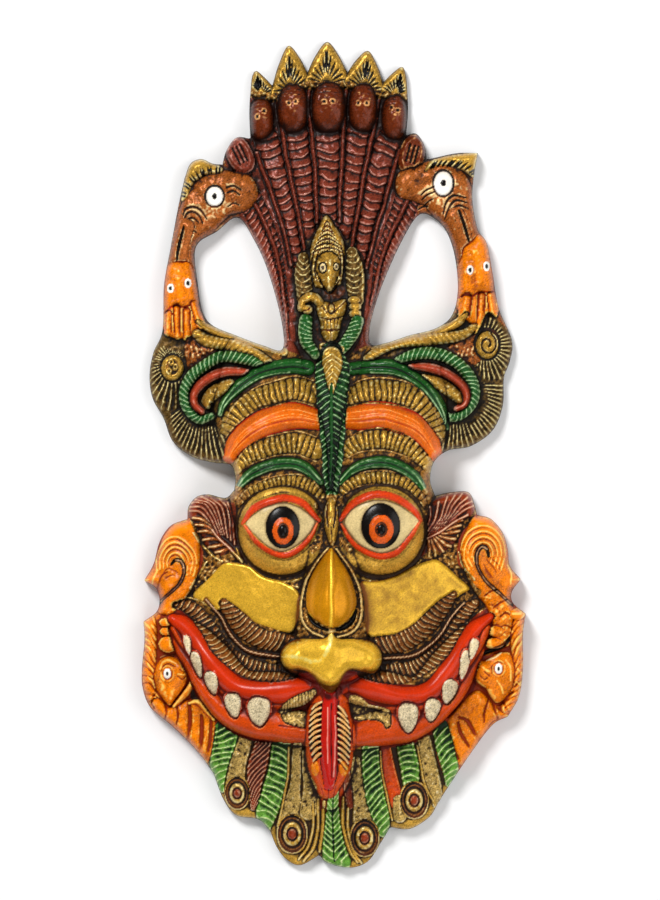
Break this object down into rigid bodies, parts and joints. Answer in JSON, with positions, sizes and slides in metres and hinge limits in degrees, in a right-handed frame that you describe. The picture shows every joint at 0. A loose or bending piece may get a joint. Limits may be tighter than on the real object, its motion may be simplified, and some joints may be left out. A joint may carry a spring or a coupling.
{
  "type": "kirtimukha mask",
  "caption": "Cast brass kirtimukha wall mask in high relief, painted and antiqued: serpent hood, two bird handles, ringed brow, staring eyes, wide mouth with tongue, feathered beard.",
  "frame": {"origin": "centre of the bottom of the bounding box, on the floor under the back rim", "axes": "+Z out of the face, away from the floor it lies on; +Y from the beard towards the crowns; +X to the right of someone who looks at the face"},
  "size_m": [0.1924, 0.4132, 0.0541],
  "materials": {
    "painted_brass": "cast brass painted with coloured enamels, rubbed back on the high places and darkened in the hollows"
  },
  "bodies": {
    "root": {"mask": "painted_brass"}
  },
  "joints": []
}
